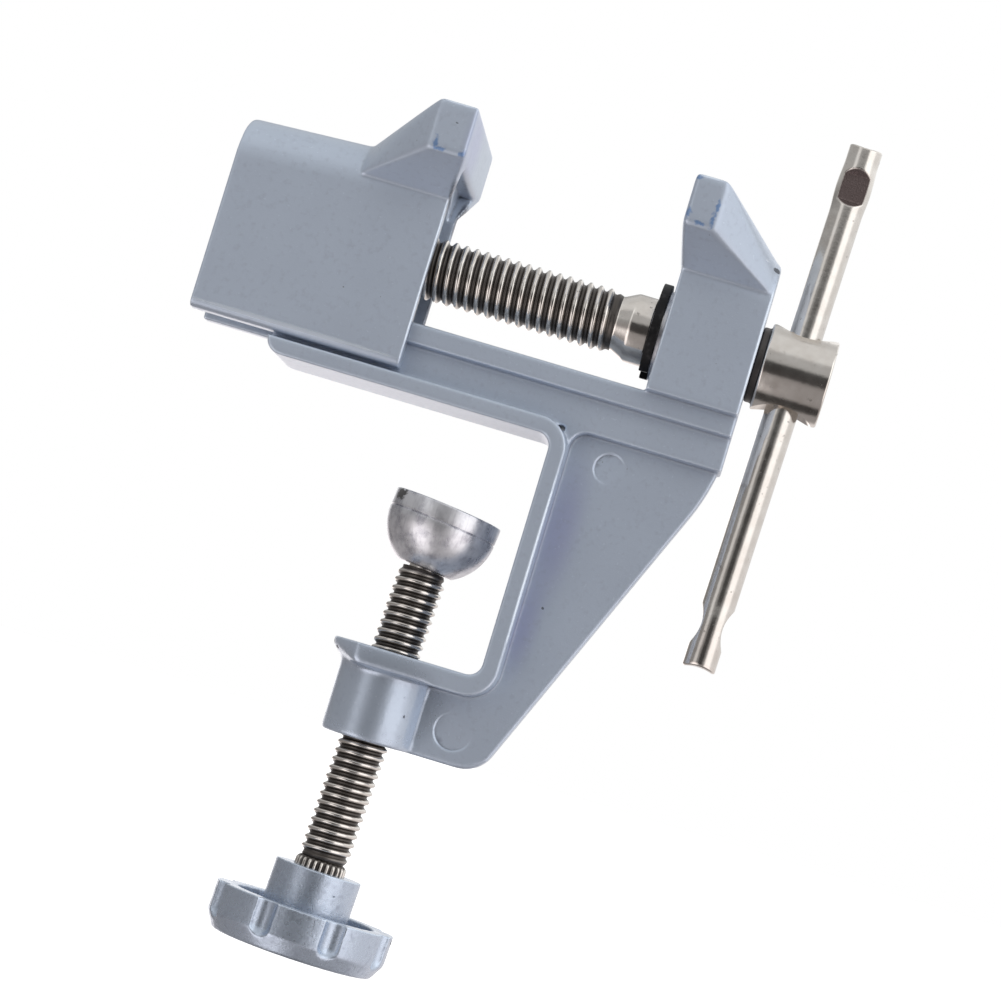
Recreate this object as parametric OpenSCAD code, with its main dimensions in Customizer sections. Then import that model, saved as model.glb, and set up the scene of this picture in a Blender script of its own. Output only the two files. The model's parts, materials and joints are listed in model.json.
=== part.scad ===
// Clamp-on table vise with a sliding jaw, a main screw with a tommy bar and a table clamp below.
// Millimetres, +Z up. The origin lies on the table seat, over the axis of the clamp screw.
// +X runs along the main screw towards its handle, and the object is alike on both sides of Y = 0.

/* [Beam and column] */
// Width of the seat flange, the column, the arm and both jaw bodies
casting_w = 15.2; // [14.8:0.2:18]
// Thickness of the flange that rests on the table
seat_t = 2.3; // [2:0.1:2.8]
// Height of the rail's top above the table seat
rail_top = 9.8; // [9:0.1:11]
// Thickness of the rail that the moving jaw hooks under
rail_t = 2.9; // [2.4:0.1:3.4]
// Width of the rail
rail_w = 11.2; // [10.6:0.1:11.6]
// Width of the web between the rail and the seat flange
web_w = 8; // [6:0.1:8.4]
// Height at which the web steps in to the gusset plate
web_low = 2.1; // [1.4:0.1:2.2]
// Radius of the round corner between the web and the column
pocket_r = 2.4; // [1:0.1:3]
// Width of the gusset plate behind the column
gusset_w = 4; // [3:0.1:6]
// Reach of the beam behind the clamp axis
beam_back = 28.4; // [24:0.2:30]
// Distance from the clamp axis to the inner face of the column
throat_reach = 12.85; // [11:0.05:16]
// Height of the throat that takes the table's edge
throat_h = 34.4; // [30:0.2:40]
// Radius of the throat's two inner corners
throat_r = 1.9; // [1:0.1:3]
// Thickness of the column flange
column_t = 2.4; // [2:0.1:3.2]
// Lean of the gusset's outer edge from the vertical, in degrees
gusset_lean = 22.9; // [20:0.1:25]
// Radius that joins the gusset's outer edge to the end of the beam
gusset_bend_r = 30; // [20:1:34]
// Radius of the gusset's lowest corner
gusset_foot_r = 4.5; // [2:0.1:6]

/* [Arm] */
// Thickness of the arm flange
arm_t = 2.9; // [2.4:0.1:3.4]
// Overhang of the arm flange in front of the screw boss
arm_lip = 1.8; // [1:0.1:2.4]
// Diameter of the screw boss
boss_d = 13.1; // [12:0.1:15]
// Height of the screw boss, from the top of the arm
boss_h = 12.7; // [11:0.1:16]

/* [Jaws] */
// Width of both jaws
jaw_w = 30; // [26:0.5:36]
// Height of the jaw tops above the table seat
jaw_top = 38.8; // [38:0.1:41]
// Height of the flat side of each jaw
jaw_side_h = 7; // [5.8:0.1:7.2]
// Thickness of the moving jaw at its side
moving_jaw_t = 5.3; // [4:0.1:6]
// Thickness of the fixed jaw at its side
fixed_jaw_t = 4.4; // [3.6:0.1:5]
// Opening between the two gripping faces as the vise stands
jaw_gap = 30.4; // [10:0.1:31]
// Distance from the clamp axis to the fixed gripping face
fixed_face_x = 21.8; // [21.4:0.1:26]
// Step from each gripping face back to its jaw body
face_step = 1.4; // [1:0.1:1.6]
// Length of the moving jaw's body
moving_body_l = 30; // [28:0.1:32]
// Length of the fixed jaw's body
fixed_body_l = 13.1; // [12:0.1:15]
// Height of the jaw bodies where they meet their jaws
body_top = 32.8; // [32:0.1:34]
// Fall of a jaw body's top away from its jaw, in degrees
body_fall = 3; // [0:0.5:4]
// Radius of the long upper edges of the jaw bodies
body_round_r = 6.5; // [5:0.1:7]
// Height at which the jaws flare out from their bodies
flare_z = 27; // [26:0.1:28]
// Reach of the moving jaw's back slope behind its gripping face
moving_slope_l = 14.2; // [12:0.1:16]
// Reach of the fixed jaw's back slope behind its gripping face
fixed_slope_l = 14; // [12:0.1:14.4]
// Length of the tapped wall inside the moving jaw
nut_l = 12; // [10:0.5:13]
// Depth of the tapped wall behind the front of the jaw body
nut_depth = 8.2; // [7:0.1:9]
// Depth of the cored recess in the moving jaw's face
core_depth = 2.6; // [2:0.1:3]
// Wall left round the cored recess, measured up from the jaw's flare
core_wall = 3.4; // [3:0.1:4]

/* [Main screw] */
// Height of the main screw's axis above the table seat
screw_z = 18.3; // [18:0.1:19]
// Outer diameter of the main thread
screw_d = 8.9; // [8:0.1:9.2]
// Advance of the main thread in one turn
screw_pitch = 1.5; // [1.2:0.05:2]
// Distance from the fixed gripping face back to the end of the main thread
thread_stop = 5.3; // [5:0.1:6]
// Length of the main thread
thread_l = 48.5; // [46:0.5:54]
// Length of the cone from the thread to the shank
shank_cone_l = 2; // [1:0.1:2.4]
// Diameter of the plain shank that turns in the fixed jaw
shank_d = 9.7; // [9.4:0.1:10]
// Diameter of the shoulder that bears on the fixed jaw
shoulder_d = 10.7; // [10.3:0.1:11.4]
// Length of the shoulder
shoulder_l = 1.1; // [0.6:0.1:1.6]
// Diameter of the screw head
head_d = 12.3; // [11.6:0.1:14]
// Length of the screw head
head_l = 9.5; // [8.6:0.1:11]
// Distance from the shoulder to the axis of the bar's hole
bar_hole_in = 4.55; // [4.3:0.05:5.2]
// Chamfer on the edges of the screw head
head_chamfer = 0.4; // [0.2:0.1:0.8]
// Diameter across the retaining ring
ring_d = 14.4; // [13.6:0.1:15]
// Thickness of the retaining ring
ring_t = 1.3; // [1:0.1:1.4]
// Diameter of the ring's groove in the shank
groove_d = 7.6; // [7:0.1:8]
// Diameter of the thin washer behind the ring
washer_d = 12.8; // [12:0.1:13.6]
// Thickness of the thin washer
washer_t = 0.45; // [0.3:0.05:0.6]

/* [Tommy bar] */
// Diameter of the bar
bar_d = 4.7; // [4.2:0.1:5]
// Length of the bar
bar_l = 76.5; // [60:0.5:84]
// Length of bar that stands above the main screw's axis
bar_up = 33.5; // [28:0.5:40]
// Lean of the bar in its hole, in degrees
bar_lean = 1.3; // [0:0.1:1.5]
// Distance of each staked pinch from its end of the bar
pinch_in = 6.3; // [5:0.1:8]
// Length of a staked pinch
pinch_l = 5.4; // [4:0.1:6]
// Thickness of the bar at a pinch
pinch_t = 3.05; // [2.6:0.05:3.4]
// Width of the bar at a pinch
pinch_w = 5.4; // [5.35:0.05:5.8]

/* [Table clamp] */
// Lean of the clamp screw in its worn thread, in degrees
clamp_lean = 2.1; // [0:0.1:2.4]
// Lean of the clamp screw's top towards the far side, in degrees
clamp_lean_far = 2.2; // [0:0.1:2.4]
// Outer diameter of the clamp thread
clamp_d = 7; // [6.4:0.1:7.4]
// Advance of the clamp thread in one turn
clamp_pitch = 1.25; // [1:0.05:1.5]
// Length of clamp thread above the middle of the boss as the vise stands
clamp_up = 18.4; // [16:0.1:20]
// Length from the middle of the boss down to the knob's hub
clamp_down = 25.2; // [20:0.1:28]
// Diameter of the knurled end that the knob is pressed on
knurl_d = 7.2; // [7:0.1:7.6]
// Length of knurl that shows above the knob
knurl_l = 1.4; // [1:0.1:2]
// Diameter of the neck that carries the pad
neck_d = 4.4; // [4:0.1:4.8]

/* [Swivel pad] */
// Diameter of the pad's cup
pad_d = 15.5; // [14.5:0.1:17]
// Height of the cup's upright rim
pad_rim_h = 2.5; // [2:0.1:3]
// Depth of the cup's rounded part
pad_bowl_h = 6.6; // [6.2:0.1:7]
// Wall of the cup
pad_wall = 1.3; // [1:0.1:1.5]
// Thickness of the cup's floor
pad_floor_t = 1.6; // [1.4:0.1:1.8]
// Tilt of the cup to the clamp screw, where it rests on its stop, in degrees
pad_tilt = 3.9; // [1:0.1:5]
// Outer diameter of the clip that holds the cup on the neck
clip_d = 6.8; // [6.2:0.1:7.2]
// Thickness of the clip
clip_t = 0.7; // [0.5:0.1:0.9]

/* [Clamp knob] */
// Diameter of the knob
knob_d = 25.3; // [23:0.1:30]
// Height of the fluted disc
knob_h = 6.5; // [6:0.1:8]
// Diameter of the disc's underside
knob_foot_d = 22.7; // [20:0.1:23]
// Diameter of the hub
hub_d = 12.2; // [11.4:0.1:13]
// Height of the hub above the disc
hub_h = 5.4; // [4:0.1:7]
// Wall between the flutes and the knob's hollow
knob_wall = 1.7; // [1.4:0.1:2]
// Number of flutes
flute_count = 8; // [6:1:10]
// Radius of a flute
flute_r = 1.7; // [1.4:0.1:1.9]
// Depth of a flute
flute_depth = 1.1; // [0.8:0.1:1.3]
// Length of a flute, open at the top
flute_l = 5.2; // [4:0.1:5.4]
// Turn of the flutes from the near side, in degrees
flute_phase = 27.5; // [0:0.5:45]

/* [Fits] */
// Clearance of the moving jaw on its rail, on each side
slide_gap = 0.15; // [0.1:0.01:0.15]
// Radial clearance of a shaft in its bore
run_gap = 0.05; // [0.03:0.01:0.08]
// Clearance between faces that turn on each other
face_gap = 0.04; // [0.02:0.01:0.06]
// Clearance between the moving jaw's lips and the seat flange
lip_gap = 0.7; // [0.3:0.1:0.9]

/* [Hidden] */

$fn = 48;
// Sides of the turned threads, and the share of the pitch that a thread is deep
THREAD_SIDES = 20;
THREAD_DEPTH_SHARE = 0.55;
// Share of the head's diameter by which the bar's hole is countersunk
COUNTERSINK_SHARE = 0.15;
// Points on a bend of the gusset's outline
BEND_STEPS = 8;
// Overrun of every cut past the face that it opens
over = 0.2 * casting_w;

CASTING = [0.62, 0.65, 0.70];
STEEL = [0.74, 0.74, 0.72];
BLACK = [0.09, 0.09, 0.10];

half_w = casting_w / 2;
rail_low = rail_top - rail_t;
beam_end = fixed_face_x + face_step + fixed_body_l;

// Moving jaw
moving_face_x = fixed_face_x - jaw_gap;
moving_end = moving_face_x - face_step;
moving_back = moving_end - moving_body_l;
cavity_half_w = rail_w / 2 + slide_gap;
jaw_wall = half_w - cavity_half_w;
hook_top = rail_low - slide_gap;
hook_half_w = web_w / 2 + slide_gap;
lip_z = seat_t + lip_gap;
lip_round_r = 0.6 * jaw_wall;
nut_front = moving_end - nut_depth;
nut_back = nut_front - nut_l;

// Main screw, measured along X
thread_end = fixed_face_x - thread_stop;
thread_start = thread_end - thread_l;
screw_root_r = screw_d / 2 - THREAD_DEPTH_SHARE * screw_pitch;
// Radius of the round faces that meet the thread's many-sided ends, inside their sides
core_r = screw_root_r * cos(180 / THREAD_SIDES) - face_gap;
block_face_x = fixed_face_x + face_step;
washer_x = block_face_x - face_gap - washer_t;
ring_x = washer_x - face_gap - ring_t;
shoulder_x = beam_end + face_gap;
head_x = shoulder_x + shoulder_l;
head_end = head_x + head_l;
bar_x = head_x + bar_hole_in;
bar_hole_r = bar_d / 2 + head_d / 2 * tan(bar_lean) + run_gap;
countersink_r = bar_hole_r + COUNTERSINK_SHARE * head_d;

// Clamp screw, measured along its own leaning axis from the middle of the boss
boss_low = -throat_h - boss_h;
pivot_z = -throat_h - boss_h / 2;
clamp_dir = [cos(clamp_lean_far) * sin(clamp_lean), sin(clamp_lean_far),
             cos(clamp_lean_far) * cos(clamp_lean)];
clamp_bore_r = clamp_d / 2 + boss_h / 2 * tan(acos(clamp_dir[2])) + run_gap;
clamp_root_r = clamp_d / 2 - THREAD_DEPTH_SHARE * clamp_pitch;
// Angle between the neck and the cup, which does not lean to either side
cup_angle = acos(cos(pad_tilt) * cos(clamp_lean_far));
// End play that lets the cup tilt between the thread and the clip
cup_play = clip_d / 2 * tan(cup_angle) + run_gap;
cup_low = clamp_up + cup_play;
cup_pivot = cup_low + pad_floor_t / 2;
clip_low = cup_low + pad_floor_t + cup_play;
neck_top = clip_low + 2 * clip_t;
cup_hole_r = neck_d / 2 + (pad_floor_t / 2 + neck_d / 2) * tan(cup_angle) + run_gap;
clip_groove_r = neck_d / 2 - 0.5 * clip_t;
hub_top = -clamp_down;
disc_top = hub_top - hub_h;
disc_low = disc_top - knob_h;
screw_low = disc_top - knob_h / 2;

// Points on an arc round c, from angle a0 to a1
function arc(c, r, a0, a1) = [
    for (i = [0:BEND_STEPS])
        let (a = a0 + (a1 - a0) * i / BEND_STEPS)
        c + r * [cos(a), sin(a)]
];

// Extrudes an outline in X and Z by w, evenly to both sides of Y = 0
module across(w) {
    rotate([90, 0, 0]) linear_extrude(height = w, center = true) children();
}

// Extrudes an outline in Y and Z along X, from x0 to x1
module along_x(x0, x1) {
    translate([x0, 0, 0]) rotate([90, 0, 90]) linear_extrude(height = x1 - x0) children();
}

// Box between x0 and x1 and between z0 and z1, as wide as w
module bar_box(x0, x1, z0, z1, w) {
    translate([x0, -w / 2, z0]) cube([x1 - x0, w, z1 - z0]);
}

// Round solid on the main screw's axis, from radius r0 at x0 to radius r1 at x1
module turned(x0, x1, r0, r1) {
    translate([x0, 0, screw_z]) rotate([0, 90, 0]) cylinder(h = x1 - x0, r1 = r0, r2 = r1);
}

// Straight round solid on the main screw's axis, from x0 to x1
module shaft(x0, x1, r) {
    turned(x0, x1, r, r);
}

// Outline of a jaw body: upright sides and rounded upper edges
module arch(hw, z0, z1, r) {
    translate([-hw, z0]) square([2 * hw, z1 - r - z0]);
    translate([-(hw - r), z0]) square([2 * (hw - r), z1 - z0]);
    for (side = [-1, 1]) translate([side * (hw - r), z1 - r]) circle(r);
}

// A jaw body's outline run along X from x0 to x1, with its top highest at peak_x.
// fall is positive where the top falls towards -X.
module falling_arch(x0, x1, peak_x, hw, z0, z1, r, fall) {
    intersection() {
        bar_box(x0, x1, z0, z1 + over, 2 * hw + over);
        translate([peak_x, 0, z1]) rotate([0, -fall, 0])
            along_x(x0 - peak_x - over, x1 - peak_x + over) arch(hw, -(z1 - z0) - over, 0, r);
    }
}

// Outline with two rounded corners on its +X side, from x0 to x1 and z0 to z1
module right_rounded(x0, x1, z0, z1, r) {
    translate([x0, z0]) square([x1 - r - x0, z1 - z0]);
    translate([x0, z0 + r]) square([x1 - x0, z1 - z0 - 2 * r]);
    for (z = [z0 + r, z1 - r]) translate([x1 - r, z]) circle(r);
}

// Solid right-hand thread along +Z from z = 0, whose ends run out to its root
module thread(length, r, root_r, pitch) {
    n = THREAD_SIDES;
    turns = floor(length / pitch) - 1;
    rows = 2 * turns + 2;
    // Height and radius of one row of the column at step i round the axis
    function height(i, j) = j == 0 ? 0 : j == rows - 1 ? length : pitch * (j / 2 + i / n) - pitch / 4;
    function radius(i, j) =
        j == 0 || j == rows - 1 || j % 2 == 0 ? root_r
        : j == 1 ? root_r + (r - root_r) * i / n
        : j == rows - 3 && i > 0 ? r - (r - root_r) * i / n
        : r;
    points = [for (i = [0:n - 1]) for (j = [0:rows - 1])
        [radius(i, j) * cos(360 * i / n), radius(i, j) * sin(360 * i / n), height(i, j)]];
    function at(i, j) = i * rows + j;
    sides = [for (i = [0:n - 2]) for (j = [0:rows - 2])
        each [[at(i, j), at(i, j + 1), at(i + 1, j)], [at(i + 1, j), at(i, j + 1), at(i + 1, j + 1)]]];
    // The last column meets the first one a pitch higher
    seam = [for (j = [0:rows - 4])
        each [[at(n - 1, j), at(n - 1, j + 1), at(0, j + 2)],
              [at(0, j + 2), at(n - 1, j + 1), at(0, j + 3)]]];
    run_in = [for (j = [0:1]) [at(n - 1, 0), at(0, j + 1), at(0, j)]];
    run_out = [for (j = [rows - 3:rows - 2]) [at(n - 1, j), at(n - 1, j + 1), at(0, rows - 1)]];
    low_end = [[for (i = [0:n - 1]) at(i, 0)]];
    high_end = [[for (i = [n - 1:-1:0]) at(i, rows - 1)]];
    polyhedron(points, concat(sides, seam, run_in, run_out, low_end, high_end));
}

// Outline of the gusset plate behind the column and round the foot of the boss
module gusset_outline() {
    bend_c = [beam_end - gusset_bend_r, rail_low];
    bend_foot = bend_c + gusset_bend_r * [cos(gusset_lean), -sin(gusset_lean)];
    foot_z = boss_low + gusset_foot_r;
    foot_run = ((foot_z - bend_foot[1]) * sin(gusset_lean) - gusset_foot_r) / cos(gusset_lean);
    column_x = throat_reach + column_t / 2;
    rail_z = rail_top - rail_t / 2;
    arm_z = -throat_h - arm_t / 2;
    polygon(concat(
        [[0, boss_low]],
        arc([bend_foot[0] + foot_run, foot_z], gusset_foot_r, -90, -gusset_lean),
        arc(bend_c, gusset_bend_r, -gusset_lean, 0),
        [[beam_end, rail_z], [column_x, rail_z], [column_x, arm_z], [0, arm_z]]));
}

// Flange that runs round the throat: the table seat, the column and the arm
module throat_flange() {
    across(casting_w) difference() {
        right_rounded(-beam_back, throat_reach + column_t, -throat_h - arm_t, seat_t, throat_r + column_t);
        right_rounded(-beam_back - over, throat_reach, -throat_h, 0, throat_r);
        // The arm is cut off at the clamp axis, where its round end takes over
        translate([-beam_back - over, -throat_h - arm_t - over]) square([beam_back + over, throat_h]);
        // The beam's end is rounded upwards
        translate([-beam_back, 0]) difference() {
            translate([-over, -over]) square([seat_t + over, seat_t + over]);
            translate([seat_t, seat_t]) circle(seat_t);
        }
    }
}

// Round end of the arm, flaring out from the screw boss
module arm_end() {
    boss_r = boss_d / 2;
    lip_r = boss_r + arm_lip;
    rim_h = arm_t / 3;
    foot_r = boss_r - arm_lip / 8;
    intersection() {
        // The flare turns into the arm's flat sides
        hull() {
            translate([0, 0, -throat_h - rim_h]) cylinder(h = rim_h, r = lip_r, $fn = 64);
            translate([0, 0, -throat_h - arm_t]) cylinder(h = rim_h, r = foot_r, $fn = 64);
            bar_box(-boss_r / 2, boss_r, -throat_h - arm_t, -throat_h, casting_w + arm_lip);
        }
        bar_box(-lip_r, boss_r, -throat_h - arm_t, -throat_h, casting_w);
    }
    translate([0, 0, boss_low]) cylinder(h = boss_h, r = boss_r);
}

// Jaw on top of a body: dir is 1 where the gripping face looks along +X
module jaw_head(face_x, dir, t, slope_l) {
    side_x = face_x - dir * t;
    step_x = face_x - dir * face_step;
    slope_x = face_x - dir * slope_l;
    hull() {
        bar_box(min(face_x, side_x), max(face_x, side_x), jaw_top - jaw_side_h, jaw_top, jaw_w);
        falling_arch(min(step_x, slope_x), max(step_x, slope_x), step_x, half_w, flare_z, body_top,
                     body_round_r, dir * body_fall, $fn = 32);
    }
}

// Round corner of the pocket between the web's underside and the column
module pocket_corner() {
    column_x = throat_reach + column_t / 2;
    wall_x = throat_reach + column_t;
    web_z = (web_low + rail_low) / 2;
    bend_z = seat_t - throat_r - column_t;
    across(web_w) difference() {
        union() {
            translate([column_x, bend_z]) square([column_t / 2, web_z - bend_z]);
            translate([column_x, web_low - pocket_r]) square([column_t / 2 + pocket_r, web_z - web_low + pocket_r]);
        }
        translate([wall_x + pocket_r, web_low - pocket_r]) circle(pocket_r);
    }
}

module frame() {
    color(CASTING) difference() {
        union() {
            throat_flange();
            pocket_corner();
            arm_end();
            across(gusset_w) gusset_outline();
            bar_box(-beam_back, beam_end, web_low, rail_top - rail_t / 2, web_w);
            bar_box(-beam_back, beam_end, rail_low, rail_top, rail_w);
            falling_arch(block_face_x, beam_end, block_face_x, half_w, rail_top, body_top, body_round_r,
                         -body_fall);
            jaw_head(fixed_face_x, -1, fixed_jaw_t, fixed_slope_l);
        }
        shaft(block_face_x - over, beam_end + over, shank_d / 2 + run_gap);
        // The bore for the clamp screw stands square in its boss
        translate([0, 0, boss_low - over]) cylinder(h = boss_h + 2 * over, r = clamp_bore_r);
    }
}

// Mouth of the cored recess in the moving jaw's face, an outline in Y and Z
module core_outline() {
    rise = core_wall / 4;
    low = flare_z - rise;
    high = jaw_top - jaw_side_h - rise;
    side = jaw_w / 2 - 1.5 * core_wall;
    polygon([[-cavity_half_w, low], [cavity_half_w, low], [side, high], [-side, high]]);
}

// Space inside which the moving jaw's skirts lie, with its lower corners rounded
module skirt_outline() {
    inset = half_w - lip_round_r;
    translate([-half_w, lip_z + lip_round_r]) square([casting_w, jaw_top]);
    translate([-inset, lip_z]) square([2 * inset, jaw_top]);
    for (side = [-1, 1]) translate([side * inset, lip_z + lip_round_r]) circle(lip_round_r);
}

module moving_jaw() {
    mid_wall = jaw_wall / 2;
    screw_way_r = screw_d / 2 + run_gap;
    color(CASTING) {
        difference() {
            union() {
                intersection() {
                    falling_arch(moving_back, moving_end, moving_end, half_w, lip_z, body_top, body_round_r,
                                 body_fall);
                    along_x(moving_back, moving_end) skirt_outline();
                }
                jaw_head(moving_face_x, 1, moving_jaw_t, moving_slope_l);
            }
            // Way for the rail and the screw, and between the lips for the web
            falling_arch(moving_back - over, moving_face_x + over, moving_end, cavity_half_w, hook_top,
                         body_top - jaw_wall, body_round_r - jaw_wall, body_fall);
            bar_box(moving_back - over, moving_face_x + over, lip_z - over, rail_low, 2 * hook_half_w);
            along_x(moving_face_x - core_depth, moving_face_x + over) core_outline();
        }
        // The tapped wall stands across the hollow, and its edges lie inside the jaw's walls
        difference() {
            falling_arch(nut_back, nut_front, moving_end, half_w - mid_wall, rail_top + slide_gap,
                         body_top - mid_wall, body_round_r - mid_wall, body_fall);
            shaft(nut_back - over, nut_front + over, screw_way_r);
        }
    }
}

module main_screw() {
    shank_r = shank_d / 2;
    head_r = head_d / 2;
    rim_r = head_r - head_chamfer;
    tip_l = screw_pitch / 2;
    sink_depth = countersink_r - bar_hole_r;
    color(STEEL) difference() {
        union() {
            translate([thread_start, 0, screw_z]) rotate([0, 90, 0])
                thread(thread_l, screw_d / 2, screw_root_r, screw_pitch);
            turned(thread_start - tip_l, thread_start, core_r - tip_l, core_r);
            turned(thread_end, thread_end + shank_cone_l, core_r, shank_r);
            shaft(thread_end + shank_cone_l, ring_x - face_gap / 2, shank_r);
            shaft(ring_x - face_gap, washer_x, groove_d / 2);
            shaft(washer_x - face_gap / 2, head_x, shank_r);
            shaft(shoulder_x, head_x, shoulder_d / 2);
            turned(head_x, head_x + head_chamfer, rim_r, head_r);
            shaft(head_x + head_chamfer, head_end - head_chamfer, head_r);
            turned(head_end - head_chamfer, head_end, head_r, rim_r);
        }
        at_bar() {
            translate([0, 0, -head_d]) cylinder(h = 2 * head_d, r = bar_hole_r);
            for (flip = [0, 180])
                rotate([flip, 0, 0])
                    translate([0, 0, head_r - sink_depth])
                        cylinder(h = countersink_r, r1 = bar_hole_r, r2 = bar_hole_r + countersink_r);
        }
    }
}

// Places children on the bar's leaning axis, with z = 0 where it crosses the main screw's axis
module at_bar() {
    translate([bar_x, 0, screw_z]) rotate([0, bar_lean, 0]) children();
}

// Two reliefs make the ring springy, and its mouth opens downwards
module retaining_ring() {
    ring_r = ring_d / 2;
    hold_r = groove_d / 2 + run_gap;
    mouth_w = 1.8 * hold_r;
    relief_r = 0.86 * (ring_r - hold_r);
    relief_turn = 58;
    foot_cut = 0.09 * ring_d;
    color(BLACK) along_x(ring_x, ring_x + ring_t) translate([0, screw_z]) difference() {
        circle(ring_r);
        circle(hold_r);
        for (side = [-1, 1])
            rotate(side * relief_turn) translate([0, hold_r]) circle(relief_r);
        translate([-mouth_w / 2, -ring_r]) square([mouth_w, ring_r]);
        translate([-ring_r, -ring_r]) square([ring_d, foot_cut]);
    }
}

module ring_washer() {
    color(STEEL) along_x(washer_x, washer_x + washer_t) translate([0, screw_z]) difference() {
        circle(washer_d / 2);
        circle(shank_d / 2 + run_gap);
    }
}

// Places children in the middle of each staked pinch, the lower one a quarter turn round
module at_pinches() {
    for (end = [[bar_up - pinch_in, 0], [bar_up - bar_l + pinch_in, 90]])
        translate([0, 0, end[0]]) rotate([0, 0, end[1]]) children();
}

module handle_bar() {
    color(STEEL) at_bar() {
        difference() {
            translate([0, 0, bar_up - bar_l]) cylinder(h = bar_l, r = bar_d / 2);
            at_pinches()
                for (side = [-1, 1])
                    translate([0, side * (pinch_t + bar_d) / 2, 0])
                        cube([2 * bar_d, bar_d, pinch_l], center = true);
        }
        at_pinches() intersection() {
            cylinder(h = pinch_l, r = pinch_w / 2, center = true);
            cube([2 * pinch_w, pinch_t, 2 * pinch_l], center = true);
        }
    }
}

// Places children on the clamp screw's leaning axis, with z = 0 in the middle of the boss
module at_clamp() {
    translate([0, 0, pivot_z]) rotate([-clamp_lean_far, clamp_lean, 0]) children();
}

module clamp_screw() {
    knurl_top = hub_top + knurl_l;
    groove_low = clip_low - face_gap;
    groove_top = clip_low + clip_t + face_gap;
    color(STEEL) at_clamp() {
        translate([0, 0, screw_low]) cylinder(h = knurl_top - screw_low, r = knurl_d / 2);
        translate([0, 0, knurl_top]) thread(clamp_up - knurl_top, clamp_d / 2, clamp_root_r, clamp_pitch);
        // The neck, with a groove for the clip
        translate([0, 0, clamp_up]) cylinder(h = groove_low - clamp_up, r = neck_d / 2);
        translate([0, 0, clamp_up]) cylinder(h = neck_top - clamp_up, r = clip_groove_r);
        translate([0, 0, groove_top]) cylinder(h = neck_top - groove_top, r = neck_d / 2);
    }
}

module clamp_knob() {
    knob_r = knob_d / 2;
    foot_r = knob_foot_d / 2;
    hollow_r = knob_r - flute_depth - knob_wall;
    hollow_h = 0.7 * knob_h;
    edge_h = 0.35 * knob_h;
    color(CASTING) at_clamp() difference() {
        union() {
            translate([0, 0, disc_low]) cylinder(h = knob_h + hub_h, r = hub_d / 2);
            difference() {
                union() {
                    translate([0, 0, disc_low + edge_h]) cylinder(h = knob_h - edge_h, r = knob_r);
                    translate([0, 0, disc_low]) cylinder(h = edge_h, r1 = foot_r, r2 = knob_r);
                }
                translate([0, 0, disc_top - hollow_h]) cylinder(h = hollow_h + over, r = hollow_r);
            }
        }
        translate([0, 0, screw_low - face_gap])
            cylinder(h = hub_top - screw_low + over, r = knurl_d / 2 + face_gap / 2);
        for (k = [0:flute_count - 1])
            rotate([0, 0, flute_phase - 90 + 360 * k / flute_count])
                translate([knob_r + flute_r - flute_depth, 0, disc_top - flute_l + flute_r]) {
                    cylinder(h = flute_l + over, r = flute_r);
                    sphere(flute_r);
                }
    }
}

module swivel_pad() {
    pad_r = pad_d / 2;
    inner_r = pad_r - pad_wall;
    color(STEEL) translate([0, 0, pivot_z] + cup_pivot * clamp_dir) rotate([0, clamp_lean + pad_tilt, 0])
        translate([0, 0, -pad_floor_t / 2]) difference() {
            union() {
                intersection() {
                    translate([0, 0, pad_bowl_h]) sphere(pad_r);
                    cylinder(h = pad_bowl_h, r = pad_d);
                }
                translate([0, 0, pad_bowl_h]) cylinder(h = pad_rim_h, r = pad_r);
            }
            intersection() {
                translate([0, 0, pad_bowl_h]) sphere(inner_r);
                translate([0, 0, pad_floor_t]) cylinder(h = pad_bowl_h, r = pad_d);
            }
            translate([0, 0, pad_bowl_h]) cylinder(h = pad_rim_h + over, r = inner_r);
            translate([0, 0, -over]) cylinder(h = pad_floor_t + 2 * over, r = cup_hole_r);
        }
}

module pad_clip() {
    hold_r = clip_groove_r + face_gap;
    mouth_w = 1.8 * hold_r;
    color(BLACK) at_clamp() translate([0, 0, clip_low]) linear_extrude(height = clip_t) difference() {
        circle(clip_d / 2);
        circle(hold_r);
        translate([-mouth_w / 2, -clip_d]) square([mouth_w, clip_d]);
    }
}

frame();
moving_jaw();
main_screw();
retaining_ring();
ring_washer();
handle_bar();
clamp_screw();
clamp_knob();
swivel_pad();
pad_clip();
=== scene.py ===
import json
from math import cos, hypot, pi, radians, sin

import bmesh
import bpy
import numpy as np
from mathutils import Matrix, Quaternion, Vector
from mathutils.kdtree import KDTree


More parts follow.
